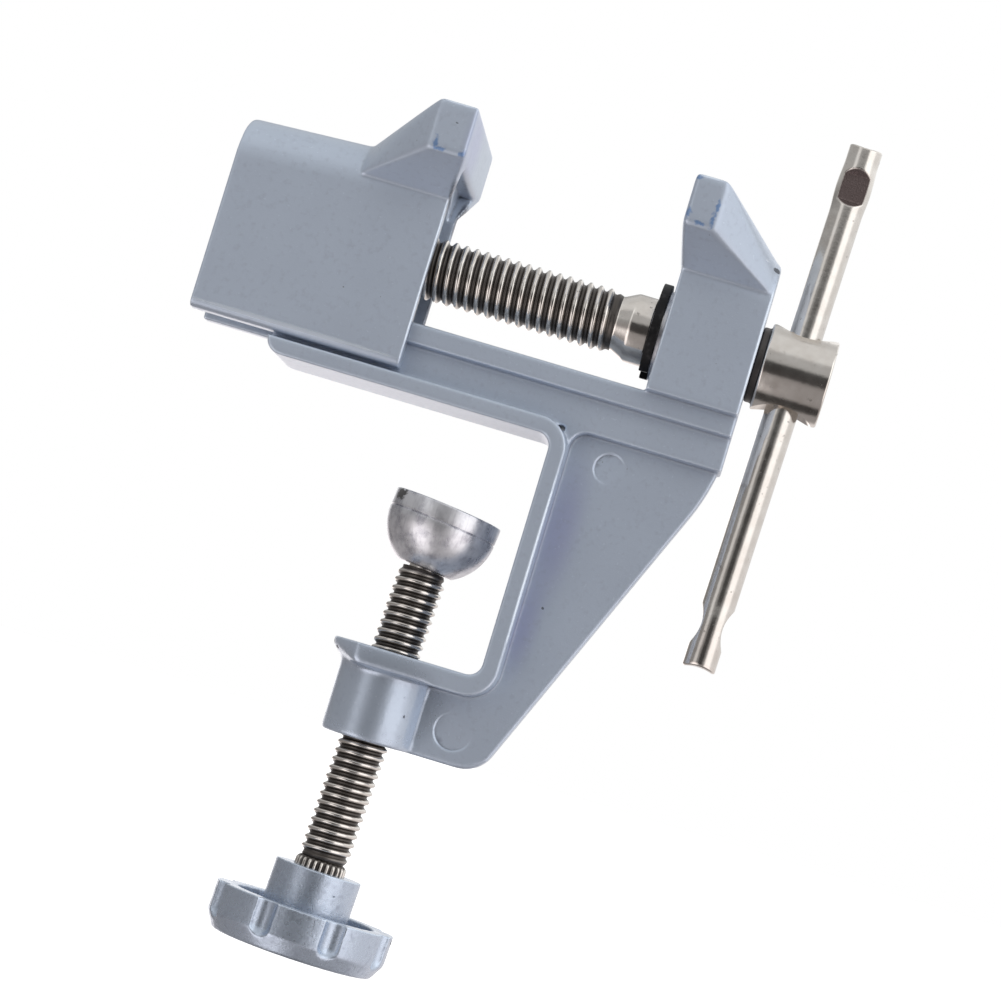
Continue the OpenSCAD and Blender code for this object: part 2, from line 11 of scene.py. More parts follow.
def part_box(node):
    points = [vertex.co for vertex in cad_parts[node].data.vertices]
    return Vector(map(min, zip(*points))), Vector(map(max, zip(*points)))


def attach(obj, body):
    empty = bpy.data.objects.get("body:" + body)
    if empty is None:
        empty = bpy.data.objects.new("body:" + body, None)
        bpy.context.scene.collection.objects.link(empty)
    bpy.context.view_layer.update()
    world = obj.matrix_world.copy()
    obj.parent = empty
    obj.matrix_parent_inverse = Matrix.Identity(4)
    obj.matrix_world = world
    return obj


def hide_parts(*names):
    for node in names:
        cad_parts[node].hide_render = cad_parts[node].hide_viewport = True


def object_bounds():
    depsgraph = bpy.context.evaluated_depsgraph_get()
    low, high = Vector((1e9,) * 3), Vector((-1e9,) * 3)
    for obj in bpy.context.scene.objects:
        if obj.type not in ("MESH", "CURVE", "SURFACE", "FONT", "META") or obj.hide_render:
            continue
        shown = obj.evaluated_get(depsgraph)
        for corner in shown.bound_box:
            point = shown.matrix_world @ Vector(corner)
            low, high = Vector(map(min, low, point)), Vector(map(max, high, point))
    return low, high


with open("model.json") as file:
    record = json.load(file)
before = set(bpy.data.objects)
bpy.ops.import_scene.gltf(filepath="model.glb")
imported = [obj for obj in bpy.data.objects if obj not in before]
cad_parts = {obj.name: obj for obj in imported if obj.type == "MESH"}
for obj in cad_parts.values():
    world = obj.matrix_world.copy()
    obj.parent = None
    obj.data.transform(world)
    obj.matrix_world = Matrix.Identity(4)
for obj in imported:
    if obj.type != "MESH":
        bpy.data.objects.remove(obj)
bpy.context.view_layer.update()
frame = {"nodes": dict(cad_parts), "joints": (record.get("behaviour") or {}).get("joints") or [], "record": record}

MM = 0.001
joints = {joint["name"]: joint for joint in frame["joints"]}
mounts = {mount["name"]: mount for mount in frame["record"]["mounts"]}

# Camera: the photograph looks square at the vise's side, and is turned by the roll
CAMERA_AT = Vector((38.79, -370.39, -36.08)) * MM
CAMERA_TARGET = Vector((25.01, 0, -17.96)) * MM
CAMERA_ROLL = 16.77
CAMERA_LENS = 96.54
CAMERA_SHIFT = (-0.1, 0.09)
CAMERA_SENSOR = 36

# Light and floor
STUDIO_POWER = 1.25
LOW_LIGHT = (1.0, 0.94, 0.93, 1)
FLOOR_GLOW = 0.55
# More than the clamp screw comes down
KNOB_DROP = 12.5 * MM
FLOOR_R = 1.6

# Main screw
SCREW_D = 8.9 * MM
SCREW_PITCH = 1.5 * MM
SCREW_THREAD_L = 48.5 * MM
SCREW_TIP_L = 0.75 * MM
SHANK_D = 9.7 * MM
SHANK_CONE_L = 2 * MM
SHOULDER_D = 10.7 * MM
SHOULDER_L = 1.1 * MM
HEAD_D = 12.3 * MM
HEAD_L = 9.5 * MM
GROOVE_D = 7.6 * MM
BAR_HOLE_FLARE = 1.95 * MM
BAR_HOLE_FLARE_DEPTH = 2.5 * MM
BAR_HOLE_IN = 4.55 * MM
BAR_HOLE_D = 5.08 * MM
MAIN_RIDGE_H = 0.6 * MM
GROOVE_PLAY = 0.04 * MM
ROOT_PLAY = 0.02 * MM

# Tommy bar
BAR_D = 4.7 * MM
BAR_L = 76.5 * MM
BAR_UP = 33.5 * MM
PINCH_IN = 6.3 * MM
PINCH_L = 5.4 * MM
PINCH_T = 3.05 * MM
PINCH_W = 5.05 * MM
SHEAR_HOLLOW = 0.5 * MM
BAR_CHAMFER = 0.35 * MM

# Clamp screw and its cup
CLAMP_D = 7 * MM
CLAMP_PITCH = 1.25 * MM
CLAMP_RIDGE_H = 0.55 * MM
CLAMP_UP = 18.4 * MM
CLAMP_DOWN = 25.2 * MM
KNURL_D = 7.2 * MM
KNURL_L = 1.4 * MM
KNURL_TEETH = 24
KNURL_RIDGE_H = 0.45 * MM
# Length of knurl that the knob hides
KNURL_BELOW = 6 * MM
NECK_D = 4.4 * MM
NECK_GROOVE_DEPTH = 0.35 * MM
NECK_GROOVE_HALF = 0.39 * MM
NECK_END = 1.05 * MM
PAD_D = 15.5 * MM
PAD_RIM_H = 2.5 * MM
PAD_BOWL_H = 6.6 * MM
PAD_WALL = 1.3 * MM
PAD_FLOOR_T = 1.6 * MM
PAD_HOLE_D = 4.97 * MM

# Castings
GUSSET_W = 4 * MM
BOSS_FOOT_Z = -45 * MM
ARM_END_LOW, ARM_END_HIGH = -39.5 * MM, -34.6 * MM
KNOB_FOOT_Z = -74.8 * MM
JAW_FOOT_Z = 29 * MM
CASTING_VOXEL = 0.17 * MM
KNOB_VOXEL = 0.12 * MM
RING_VOXEL = 0.07 * MM
EJECTOR_DEPTH = 0.17 * MM
# Centre and radius of the two ejector marks on each side of the gusset, in X and Z, and their deep side
EJECTOR_MARKS = (((21.4 * MM, -1.7 * MM), 2.15 * MM, (-0.8, 0.6)),
                 ((11.3 * MM, -42.4 * MM), 2.7 * MM, (-0.6, -0.8)))
EJECTOR_WALL = 0.3 * MM


def from_screen(red, green, blue):
    """Linear colour of a screen colour given as 0 to 255."""
    return tuple(((part / 255 + 0.055) / 1.055) ** 2.4 if part > 10 else part / 3294
                 for part in (red, green, blue))


# Colours of the finishes
CAST_DARK = from_screen(186, 197, 213)
CAST_LIGHT = from_screen(198, 210, 226)
CAST_DULL = from_screen(158, 166, 182)
# Bright grain, and the wear and painted highlight on the castings' edges
CAST_BRIGHT_AND_HIGHLIGHT = from_screen(230, 241, 255)
# Painted shade for creases and shadowed corners
CAST_PAINTED_SHADE = from_screen(70, 74, 90)
CAST_PIT = from_screen(40, 42, 48)
CAST_VIOLET = from_screen(160, 162, 210)
RUB_BLUE = from_screen(44, 116, 186)
NICKEL_WARM = from_screen(204, 197, 190)
NICKEL_LIGHT = from_screen(232, 229, 224)
# Dirt specks, and painted shade in the thread roots and by the head's shoulder
GRIME_AND_SHADE = from_screen(58, 52, 49)
STAKED = from_screen(92, 76, 76)
CUP_DARK = from_screen(170, 171, 180)
CUP_LIGHT = from_screen(236, 237, 242)
STAIN = from_screen(58, 56, 54)
BLACK_OXIDE = from_screen(20, 20, 22)
BLACK_RUBBED = from_screen(58, 57, 58)


class Wire:
    """An output socket that takes part in Python arithmetic: each operator adds its Math node."""

    def __init__(self, graph, socket):
        self.graph = graph
        self.socket = socket

    def __add__(self, other):
        return self.graph.math("ADD", self, other)

    def __sub__(self, other):
        return self.graph.math("SUBTRACT", self, other)

    def __rsub__(self, other):
        return self.graph.math("SUBTRACT", other, self)

    def __mul__(self, other):
        return self.graph.math("MULTIPLY", self, other)

    def __truediv__(self, other):
        return self.graph.math("DIVIDE", self, other)

    __radd__ = __add__
    __rmul__ = __mul__

    def out(self, name):
        """Another output of the same node."""
        return Wire(self.graph, self.socket.node.outputs[name])


class Graph:
    """A node tree, of a material, the world or a modifier, in which every node comes from add()."""

    def __init__(self, tree):
        self.tree = tree

    def add(self, kind, settings=None, inputs=None, output=0):
        """Adds a node, sets it up, then fills its sockets with values or wires, and returns one output."""
        node = self.tree.nodes.new(kind)
        for name, value in (settings or {}).items():
            setattr(node, name, value)
        for key, value in (inputs or {}).items():
            if isinstance(value, Wire):
                self.tree.links.new(value.socket, node.inputs[key])
            else:
                node.inputs[key].default_value = value
        return Wire(self, node.outputs[output]) if len(node.outputs) else None

    def math(self, operation, *values):
        return self.add("ShaderNodeMath", {"operation": operation}, dict(enumerate(values)))

    def between(self, value, low, high):
        """0 below low, 1 above high, and a smooth step from one to the other."""
        return self.add("ShaderNodeMapRange", {"interpolation_type": "SMOOTHSTEP"},
                        {"Value": value, "From Min": low, "From Max": high})

    def vector(self, operation, *values, output=0):
        return self.add("ShaderNodeVectorMath", {"operation": operation}, dict(enumerate(values)), output)

    def axes(self, vector):
        x = self.add("ShaderNodeSeparateXYZ", inputs={0: vector})
        return x, x.out("Y"), x.out("Z")


class Finish(Graph):
    """The finish of one kind of surface. Patterns lie in the object's own coordinates, in metres."""

    def __init__(self, name):
        self.material = bpy.data.materials.new(name)
        self.material.use_nodes = True
        super().__init__(self.material.node_tree)
        self.tree.nodes.clear()
        self.place = self.add("ShaderNodeTexCoord", output="Object")

    def noise(self, size, detail=2, stretch=None):
        """Noise of 0 to 1 with blotches about size metres across, drawn out along an axis by stretch."""
        place = self.vector("DIVIDE", self.place, stretch) if stretch else self.place
        return self.add("ShaderNodeTexNoise", {"noise_dimensions": "3D"},
                        {"Vector": place, "Scale": 1 / size, "Detail": detail})

    def mix(self, first, second, share):
        """Colour between two colours, either of which may be a wire."""
        first, second = [c if isinstance(c, Wire) else (*c, 1) for c in (first, second)]
        return self.add("ShaderNodeMix", {"data_type": "RGBA"}, {0: share, 6: first, 7: second}, 2)

    def attribute(self, name):
        return self.add("ShaderNodeAttribute", {"attribute_name": name}, output="Fac")

    def near(self, centre, reach):
        """1 at a place of the object, falling to 0 at the reach along each axis."""
        away = self.vector("DIVIDE", self.vector("SUBTRACT", self.place, centre), reach)
        return self.math("MAXIMUM", 1 - self.vector("LENGTH", away, output="Value"), 0)

    def surface(self, colour, roughness, metallic, height=None, bump_depth=0.0, **constants):
        """Ends the tree in one Principled shader and hands the material back."""
        base = colour if isinstance(colour, Wire) else (*colour, 1)
        inputs = {"Base Color": base, "Roughness": roughness, "Metallic": metallic, **constants}
        if height is not None:
            inputs["Normal"] = self.add("ShaderNodeBump", inputs={"Height": height, "Distance": bump_depth})
        shader = self.add("ShaderNodeBsdfPrincipled", inputs=inputs)
        self.add("ShaderNodeOutputMaterial", inputs={"Surface": shader})
        return self.material


def cast_finish(name, grain=1.0, metal=0.38, spots=(), chips=(), hazes=(), shade_patches=(), rubbed_and_highlit_edges=(), sheens=()):
    """Satin grey of a barrel-finished casting: mottled, bright with wear and painted highlight on its edges,
    and with painted shade in its creases. Each list holds the (centre, reach) of places: spots are blue rub
    marks, chips dark pits, hazes faint violet stains, then shadowed corners given painted shade, edges rubbed
    bright and given a painted highlight, and sheens smoother skin. grain makes the skin rougher."""
    f = Finish(name)
    mottle = f.noise(0.8 * MM, 4)
    fine = f.noise(0.2 * MM, 3)
    broad = f.noise(14 * MM, 2)
    specks = f.between(f.noise(0.42 * MM, 1), 0.7, 0.76)
    edge = f.attribute("edge")
    # Edges, and more so the listed edges, are painted bright: partly wear, partly a painted highlight
    wear_and_highlight = f.between(edge + (mottle - 0.5) * 0.16, 0.06, 0.2)
    for centre, reach in rubbed_and_highlit_edges:
        wear_and_highlight = f.math("MAXIMUM", wear_and_highlight, f.between(f.near(centre, reach) + (mottle - 0.5) * 0.5, 0.12, 0.45))
    # Creases get painted shade
    crease_shade = f.between(0 - edge, 0.015, 0.13)
    colour = f.mix(CAST_DARK, CAST_LIGHT, broad)
    for centre, reach in hazes:
        colour = f.mix(colour, CAST_VIOLET, f.between(f.near(centre, reach), 0, 0.9) * 0.42)
    # Painted shade in the listed shadowed corners
    for centre, reach in shade_patches:
        corner_shade = f.between(f.near(centre, reach) + (mottle - 0.5) * 0.3, 0.08, 0.45)
        colour = f.mix(colour, CAST_PAINTED_SHADE, corner_shade * 0.88)
    colour = f.mix(colour, CAST_DULL, f.between(mottle, 0.5, 0.8) * 0.3 * grain)
    colour = f.mix(colour, CAST_BRIGHT_AND_HIGHLIGHT, f.between(fine, 0.6, 0.8) * 0.2 * grain + specks * 0.25)
    # Wear and painted highlight on the edges
    colour = f.mix(colour, CAST_BRIGHT_AND_HIGHLIGHT, wear_and_highlight * 0.95)
    # Painted shade in the creases
    colour = f.mix(colour, CAST_PAINTED_SHADE, crease_shade * 0.85)
    pits = f.between(f.noise(1.1 * MM, 1), 0.79, 0.83)
    for centre, reach in chips:
        pits = f.math("MAXIMUM", pits, f.between(f.near(centre, reach) + (fine - 0.5) * 0.5, 0.25, 0.4))
    colour = f.mix(colour, CAST_PIT, pits * 0.8)
    rub_noise = f.noise(0.45 * MM, 3)
    for centre, reach in spots:
        rub = f.between(f.near(centre, reach) * 0.9 + rub_noise, 0.82, 1.24)
        colour = f.mix(colour, RUB_BLUE, rub * 0.62)
    sheen = 0
    for centre, reach in sheens:
        sheen = sheen + f.between(f.near(centre, reach), 0, 0.4)
    roughness = 0.39 - 0.14 * metal + (mottle - 0.5) * 0.14 * grain + pits * 0.2 + crease_shade * 0.2
    roughness = roughness - wear_and_highlight * 0.12 - sheen * 0.1
    metallic = f.math("MINIMUM", metal + sheen * 0.14, 1)
    height = broad * 0.4 + mottle * 0.35 + fine * 0.12 - pits * 0.5
    return f.surface(colour, roughness, metallic, height, 0.05 * MM * grain)


def nickel_finish(name):
    """Bright nickel plating over turned steel, rougher and given painted shade down in the thread's roots."""
    f = Finish(name)
    cloud = f.noise(1.8 * MM, 4)
    ripple = f.noise(0.9 * MM, 2)
    fine = f.noise(0.22 * MM, 3)
    crest = f.attribute("crest")
    staked = f.attribute("staked")
    # Thread roots and points marked with a low crest get painted shade
    root_shade = f.between(1 - crest, 0.1, 0.75) * 0.9
    colour = f.mix(NICKEL_WARM, NICKEL_LIGHT, cloud)
    colour = f.mix(colour, GRIME_AND_SHADE, root_shade)
    colour = f.mix(colour, STAKED, staked * 0.9)
    specks = f.between(f.noise(0.7 * MM, 2), 0.66, 0.76)
    colour = f.mix(colour, GRIME_AND_SHADE, specks * 0.4)
    roughness = 0.15 + (cloud - 0.4) * 0.14 + root_shade * 0.3 + staked * 0.3 + specks * 0.15
    height = ripple * 0.8 + fine * (0.25 + staked * 5)
    return f.surface(colour, roughness, 1.0, height, 0.014 * MM)


def pressed_finish(name, stain=None):
    """Plated sheet, drawn into a cup: faint draw lines, cloudy, darker than the turned steel. stain is the
    centre and reach of a burnt patch on the rim."""
    f = Finish(name)
    cloud = f.noise(2 * MM, 4)
    lines = f.noise(0.5 * MM, 3, stretch=(1, 1, 6))
    fine = f.noise(0.4 * MM, 4)
    colour = f.mix(CUP_DARK, CUP_LIGHT, f.between(cloud, 0.25, 0.65))
    colour = f.mix(colour, CUP_DARK, f.between(lines, 0.5, 0.8) * 0.5)
    if stain:
        colour = f.mix(colour, STAIN, f.between(f.near(*stain) * 0.9 + fine, 0.85, 1.05) * 0.85)
    roughness = 0.27 + (cloud - 0.4) * 0.2 + (lines - 0.5) * 0.1
    return f.surface(colour, roughness, 0.8, cloud * 0.5 + lines * 0.3 + fine * 0.2, 0.05 * MM)


def black_finish(name):
    """Black oxide on spring steel, greyed where it rubs."""
    f = Finish(name)
    cloud = f.noise(0.8 * MM, 4)
    colour = f.mix(BLACK_OXIDE, BLACK_RUBBED, f.between(cloud, 0.5, 0.8))
    return f.surface(colour, 0.45 + (cloud - 0.5) * 0.3, 0.5, cloud, 0.02 * MM)


def new_piece(name, mesh, material=None):
    piece = bpy.data.objects.new(name, mesh)
    bpy.context.scene.collection.objects.link(piece)
    if material:
        mesh.materials.clear()
        mesh.materials.append(material)
    return piece


def settle(piece):
    """Turns what a piece's modifiers make into its plain mesh."""
    graph = bpy.context.evaluated_depsgraph_get()
    made = bpy.data.meshes.new_from_object(piece.evaluated_get(graph))
    piece.modifiers.clear()
    piece.data = made
    return piece


def modify(piece, kind, **settings):
    modifier = piece.modifiers.new(kind.lower(), kind)
    for name, value in settings.items():
        setattr(modifier, name, value)
    return settle(piece)


def place_along(axis, origin):
    """Matrix that lays +Z along the axis from the origin, and keeps -Y towards the camera."""
    axis = Vector(axis).normalized()
    side = Vector((0, 1, 0)).cross(axis).normalized()
    turned = Matrix((side, axis.cross(side), axis)).transposed()
    return Matrix.Translation(origin) @ turned.to_4x4()


def eased(points, radius):
    """An open outline with its corners rounded off, by at most half of each side."""
    steps = 5
    made = [points[0]]
    for (ax, ay), (x, y), (bx, by) in zip(points, points[1:], points[2:]):
        reach_a = min(radius, 0.48 * hypot(ax - x, ay - y)) / hypot(ax - x, ay - y)
        reach_b = min(radius, 0.48 * hypot(bx - x, by - y)) / hypot(bx - x, by - y)
        start = (x + (ax - x) * reach_a, y + (ay - y) * reach_a)
        end = (x + (bx - x) * reach_b, y + (by - y) * reach_b)
        for step in range(steps + 1):
            t = step / steps
            made.append(tuple((1 - t) ** 2 * start[k] + 2 * t * (1 - t) * (x, y)[k] + t * t * end[k]
                              for k in (0, 1)))
    return made + [points[-1]]


def lathe(name, outline, place, material, closed=False, sides=128):
    """Solid of revolution. outline holds (radius, along) points from pole to pole, or round a loop."""
    mesh = bpy.data.meshes.new(name)
    b = bmesh.new()
    turns = [2 * pi * k / sides for k in range(sides)]
    rings = []
    for radius, along in outline:
        if radius < 1e-7:
            rings.append([b.verts.new((0, 0, along))])
        else:
            rings.append([b.verts.new((radius * cos(turn), radius * sin(turn), along)) for turn in turns])
    pairs = list(zip(rings, rings[1:])) + ([(rings[-1], rings[0])] if closed else [])
    for low, high in pairs:
        for k in range(sides):
            corners = [low[k % len(low)], low[(k + 1) % len(low)],
                       high[(k + 1) % len(high)], high[k % len(high)]]
            distinct = list(dict.fromkeys(corners))
            if len(distinct) > 2:
                b.faces.new(distinct)
    bmesh.ops.recalc_face_normals(b, faces=b.faces)
    b.transform(place)
    b.to_mesh(mesh)
    b.free()
    mesh.shade_smooth()
    mesh.set_sharp_from_angle(angle=radians(38))
    return new_piece(name, mesh, material)


def mark_edges(mesh):
    """How far each point stands proud of its neighbours: above 0 on edges, below 0 in creases."""
    count = len(mesh.vertices)
    places = np.empty(count * 3)
    mesh.vertices.foreach_get("co", places)
    places = places.reshape(-1, 3)
    normals = np.empty(count * 3)
    mesh.vertex_normals.foreach_get("vector", normals)
    normals = normals.reshape(-1, 3)
    ends = np.empty(len(mesh.edges) * 2, np.int64)
    mesh.edges.foreach_get("vertices", ends)
    a, b = ends.reshape(-1, 2).T
    degree = np.bincount(a, minlength=count) + np.bincount(b, minlength=count)
    step = places[a] - places[b]
    length = np.linalg.norm(step, axis=1) + 1e-12
    proud = (np.bincount(a, (step * normals[a]).sum(1) / length, count)
             - np.bincount(b, (step * normals[b]).sum(1) / length, count)) / degree
    for _ in range(2):
        around = (np.bincount(a, proud[b], count) + np.bincount(b, proud[a], count)) / degree
        proud = 0.5 * proud + 0.5 * around
    return places, proud


def soften(node, name, material, voxel, rounds, keep, press=None, rounder=None):
    """Copy of a CAD piece with every edge and corner rounded as a die leaves it. keep is the share of the
    fine mesh's faces that stays, and press moves points of the fine mesh before that. rounder gives more
    rounds of smoothing, and the share of them that each point takes."""
    mesh = frame["nodes"][node].data.copy()
    b = bmesh.new()
    b.from_mesh(mesh)
    bmesh.ops.remove_doubles(b, verts=b.verts, dist=1e-7)
    b.to_mesh(mesh)
    b.free()
    piece = new_piece(name, mesh)
    modify(piece, "REMESH", mode="VOXEL", voxel_size=voxel, use_smooth_shade=True)
    modify(piece, "SMOOTH", factor=0.5, iterations=rounds)
    if rounder:
        more_rounds, share_at = rounder
        group = piece.vertex_groups.new(name="rounder")
        for vertex in piece.data.vertices:
            share = share_at(vertex.co)
            if share > 0:
                group.add([vertex.index], share, "REPLACE")
        modify(piece, "SMOOTH", factor=0.5, iterations=more_rounds, vertex_group="rounder")
        piece.vertex_groups.clear()
    if press:
        press(piece.data)
    places, proud = mark_edges(piece.data)
    modify(piece, "DECIMATE", ratio=keep)
    tree = KDTree(len(places))
    for i, place in enumerate(places):
        tree.insert(place, i)
    tree.balance()
    edge = piece.data.attributes.new("edge", "FLOAT", "POINT")
    edge.data.foreach_set("value", [proud[tree.find(v.co)[1]] for v in piece.data.vertices])
    piece.data.materials.clear()
    piece.data.materials.append(material)
    return piece


def frame_share(co):
    """The jaw, the boss's foot and the arm's end are rounded more than the rest of the frame."""
    jaw = (co.z - JAW_FOOT_Z) / (2 * MM)
    foot = (BOSS_FOOT_Z - co.z) / (1 * MM)
    arm_end = min((co.z - ARM_END_LOW) / (1 * MM), (ARM_END_HIGH - co.z) / (0.4 * MM),
                  (7 * MM - co.x) / (2 * MM))
    return min(max(jaw, 0.7 * min(foot, 1), arm_end, 0), 1)


def jaw_share(co):
    """The moving jaw is rounded more than the body under it."""
    return min(max((co.z - JAW_FOOT_Z) / (2 * MM), 0), 1)


def knob_foot_share(co):
    """The knob is rounded most round its foot."""
    return 0.9 * min(max((KNOB_FOOT_Z - co.z) / (1 * MM), 0), 1)


def press_ejector_marks(mesh):
    """Sinks the round marks that the die's ejector pins leave on both sides of the gusset. Each pin stood a
    little askew, so its mark is deep on one side and fades out on the other."""
    reach = 0.05 * MM
    for vertex in mesh.vertices:
        x, y, z = vertex.co
        if abs(abs(y) - GUSSET_W / 2) > reach:
            continue
        for (cx, cz), radius, (deep_x, deep_z) in EJECTOR_MARKS:
            share = min(max((radius - hypot(x - cx, z - cz)) / EJECTOR_WALL + 0.5, 0), 1)
            if share > 0:
                share = share * share * (3 - 2 * share)
                askew = 0.6 + 0.8 * ((x - cx) * deep_x + (z - cz) * deep_z) / radius
                vertex.co.y -= EJECTOR_DEPTH * share * max(askew, 0) * (1 if y > 0 else -1)


def ridged_rod_tree():
    """Geometry nodes that wrap a grid round an axis and raise ridges on it: a thread or a straight knurl."""
    tree = bpy.data.node_groups.new("Ridged rod", "GeometryNodeTree")
    tree.is_modifier = True
    tree.interface.new_socket("Geometry", in_out="INPUT", socket_type="NodeSocketGeometry")
    for name, kind in (("Length", "Float"), ("Root radius", "Float"), ("Ridge height", "Float"),
                       ("Ridges per metre", "Float"), ("Ridges round", "Float"), ("Run-out", "Float"),
                       ("Rows", "Int"), ("Sides", "Int"), ("Material", "Material")):
        tree.interface.new_socket(name, in_out="INPUT", socket_type="NodeSocket" + kind)
    tree.interface.new_socket("Geometry", in_out="OUTPUT", socket_type="NodeSocketGeometry")
    g = Graph(tree)
    given = g.add("NodeGroupInput")
    length, rows, sides = given.out("Length"), given.out("Rows"), given.out("Sides")
    grid = g.add("GeometryNodeMeshGrid", inputs={"Size X": 1.0, "Size Y": 1.0, "Vertices X": rows,
                                                 "Vertices Y": sides + 1})
    x, y, _ = g.axes(g.add("GeometryNodeInputPosition"))
    # The first and the last row are poles, which close the ends
    row = (x + 0.5) * (rows - 1)
    turn = y + 0.5
    share = g.math("MINIMUM", g.math("MAXIMUM", (row - 1) / (rows - 3), 0.0), 1.0)
    along = share * length
    inside = g.math("GREATER_THAN", row, 0.5) * g.math("LESS_THAN", row, rows - 1.5)
    phase = along * given.out("Ridges per metre") - turn * given.out("Ridges round")
    height = g.between(g.math("PINGPONG", phase, 0.5) * 2, 0.1, 0.86)
    fade = g.math("MINIMUM", along / given.out("Run-out"), (length - along) / given.out("Run-out"))
    height = height * g.math("MINIMUM", g.math("MAXIMUM", fade, 0.0), 1.0)
    radius = (given.out("Root radius") + height * given.out("Ridge height")) * inside
    angle = turn * (2 * pi)
    wrapped = g.add("ShaderNodeCombineXYZ", inputs={0: radius * g.math("COSINE", angle),
                                                    1: radius * g.math("SINE", angle), 2: along})
    # Rows that lie on the same place would merge, so a point is stored with its ridge's height first
    marked = g.add("GeometryNodeStoreNamedAttribute", {"data_type": "FLOAT", "domain": "POINT"},
                   {"Geometry": grid, "Name": "crest", "Value": height})
    shaped = g.add("GeometryNodeSetPosition", inputs={"Geometry": marked, "Position": wrapped})
    joined = g.add("GeometryNodeMergeByDistance", inputs={"Geometry": shaped, "Distance": 1e-6})
    outward = g.add("GeometryNodeFlipFaces", inputs={"Mesh": joined})
    smooth = g.add("GeometryNodeSetShadeSmooth", inputs={"Geometry": outward})
    whole = g.add("GeometryNodeRealizeInstances", inputs={"Geometry": smooth})
    done = g.add("GeometryNodeSetMaterial", inputs={"Geometry": whole, "Material": given.out("Material")})
    g.add("NodeGroupOutput", inputs={"Geometry": done})
    return tree


def ridged_rod(name, tree, place, **values):
    """One thread or knurl, its inputs named as the tree names them, with _ for a space."""
    piece = new_piece(name, bpy.data.meshes.new(name))
    modifier = piece.modifiers.new("ridges", "NODES")
    modifier.node_group = tree
    sockets = {item.name: item.identifier for item in tree.interface.items_tree if item.in_out == "INPUT"}
    for key, value in values.items():
        modifier[sockets[key.replace("_", " ").replace("Run out", "Run-out")]] = value
    settle(piece)
    piece.data.transform(place)
    return piece


def cut(piece, tool):
    """Takes the tool's shape out of the piece, and removes the tool."""
    modify(piece, "BOOLEAN", operation="DIFFERENCE", solver="EXACT", object=tool)
    bpy.data.objects.remove(tool)
    piece.data.shade_smooth()
    piece.data.set_sharp_from_angle(angle=radians(34))
    return piece


def staked_bar(name, place, material):
    """Tommy bar with a pinch stamped near each end, the lower one a quarter turn round, and sheared ends."""
    sides, low = 96, BAR_UP - BAR_L
    pinches = ((BAR_UP - PINCH_IN, False), (low + PINCH_IN, True))
    radius = BAR_D / 2
    stops = [low, low + 0.1 * MM, low + 0.22 * MM, low + BAR_CHAMFER]
    here = low + BAR_CHAMFER
    while here < BAR_UP - BAR_CHAMFER - 0.5 * MM:
        close = min(abs(here - centre) for centre, _ in pinches) < 0.85 * PINCH_L
        here += 0.12 * MM if close else 0.6 * MM
        stops.append(here)
    stops += [BAR_UP - BAR_CHAMFER, BAR_UP - 0.22 * MM, BAR_UP - 0.1 * MM, BAR_UP]
    b = bmesh.new()
    staked = []
    rings = []
    for along in stops:
        end = min(along - low, BAR_UP - along)
        ring_r = radius - BAR_CHAMFER * (1 - min(end / BAR_CHAMFER, 1)) ** 2
        ring = []
        for k in range(sides):
            x, y = ring_r * cos(2 * pi * k / sides), ring_r * sin(2 * pi * k / sides)
            mark = 0.0
            for centre, turned in pinches:
                away = abs(along - centre)
                swell = max(0, 1 - (away / (0.7 * PINCH_L)) ** 2) ** 2
                wide, thin = (y, x) if turned else (x, y)
                # The punch is flat in the middle and slopes out towards its edges, or leaves a smooth neck
                if turned:
                    floor = PINCH_T / 2 + (radius - PINCH_T / 2) * (away / (0.55 * PINCH_L)) ** 2
                else:
                    floor = (PINCH_T / 2 + 0.9 * max(0, away - 0.34 * PINCH_L)
                             + 0.45 * max(0, abs(wide) - 0.8 * radius))
                if abs(thin) > floor:
                    mark = max(mark, min((abs(thin) - floor) / (0.12 * MM), 1) * (0.25 if turned else 1))
                    thin = floor if thin > 0 else -floor
                wide *= 1 + (PINCH_W / BAR_D - 1) * swell
                x, y = (thin, wide) if turned else (wide, thin)
            # Shears leave each end hollow across its middle
            hollow = SHEAR_HOLLOW * max(0, 1 - end / (1.5 * MM)) * (1 - (x / radius) ** 2)
            ring.append(b.verts.new((x, y, along - hollow if along > 0 else along + hollow)))
            staked.append(mark)
        rings.append(ring)
    for below, above in zip(rings, rings[1:]):
        for k in range(sides):
            n = (k + 1) % sides
            b.faces.new((below[k], below[n], above[n], above[k]))
    for ring, sign in ((rings[0], 1), (rings[-1], -1)):
        centre = b.verts.new((0, 0, ring[0].co.z + sign * SHEAR_HOLLOW))
        staked.append(0.3)
        for k in range(sides):
            n = (k + 1) % sides
            b.faces.new((ring[k], ring[n], centre) if sign < 0 else (ring[n], ring[k], centre))
    b.transform(place)
    mesh = bpy.data.meshes.new(name)
    b.to_mesh(mesh)
    b.free()
    for attribute, values in (("staked", staked), ("crest", [1.0] * len(staked))):
        mesh.attributes.new(attribute, "FLOAT", "POINT").data.foreach_set("value", values)
    mesh.shade_smooth()
    mesh.set_sharp_from_angle(angle=radians(40))
    return new_piece(name, mesh, material)


def give_crest(piece, shaded_part=lambda co: False):
    """Marks a turned piece as clean metal, for the finish it shares with the threads, and part as dark with
    painted shade.
    """
    attribute = piece.data.attributes.new("crest", "FLOAT", "POINT")
    crests = [0.15 if shaded_part(vertex.co) else 1.0 for vertex in piece.data.vertices]
    attribute.data.foreach_set("value", crests)
    return piece


def mount_piece(piece, body, slot, *nodes):
    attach(piece, body)
    if nodes:
        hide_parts(*nodes)
    return piece


